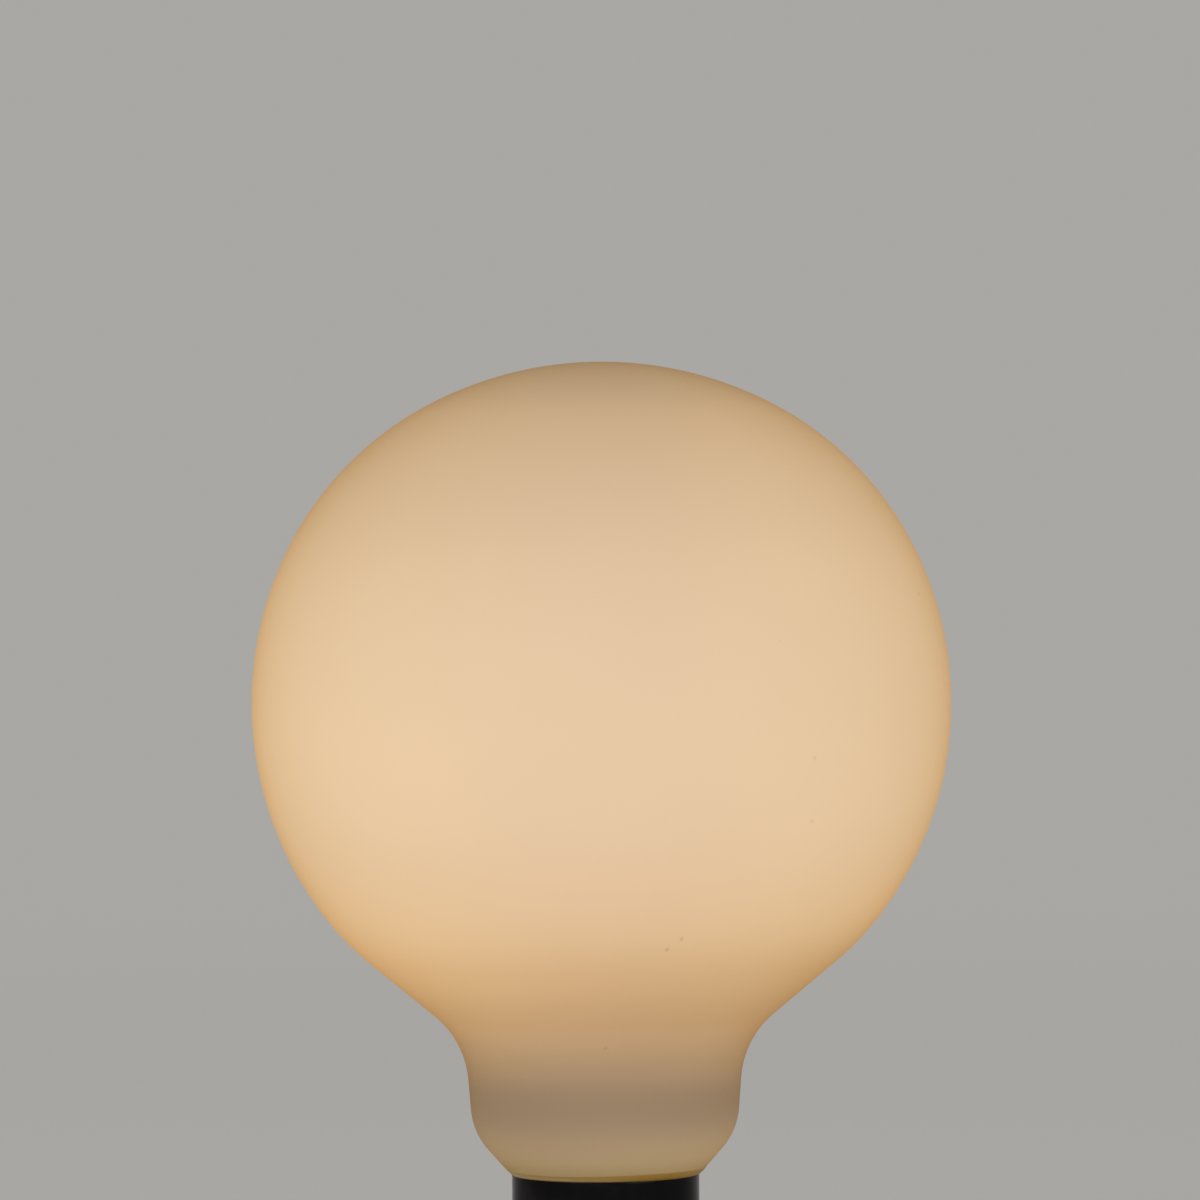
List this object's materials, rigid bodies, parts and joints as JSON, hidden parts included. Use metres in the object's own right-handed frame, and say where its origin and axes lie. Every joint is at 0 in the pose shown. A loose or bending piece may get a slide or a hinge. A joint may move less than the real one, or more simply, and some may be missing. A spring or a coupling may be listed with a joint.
{
  "type": "globe bulb",
  "caption": "Lit opal glass globe bulb on a short tapered neck, cemented into a dark rolled screw cap with a centre contact.",
  "frame": {"origin": "centre of the centre contact's flat face, at the foot of the cap", "axes": "+Z along the bulb's axis from the contact to the globe's crown; X and Y are free, because the bulb is round"},
  "size_m": [0.095, 0.095, 0.1371],
  "materials": {
    "opal_glass": "satin opal white glass, lit warm from inside",
    "cement": "amber basing cement, slightly uneven",
    "cap_metal": "bright black nickel plate",
    "black_glass": "moulded black glass",
    "contact_metal": "tinned brass"
  },
  "bodies": {
    "root": {"glass_envelope": "opal_glass", "cement_ring": "cement", "cap_shell": "cap_metal", "cap_insulator": "black_glass", "centre_contact": "contact_metal"}
  },
  "joints": []
}
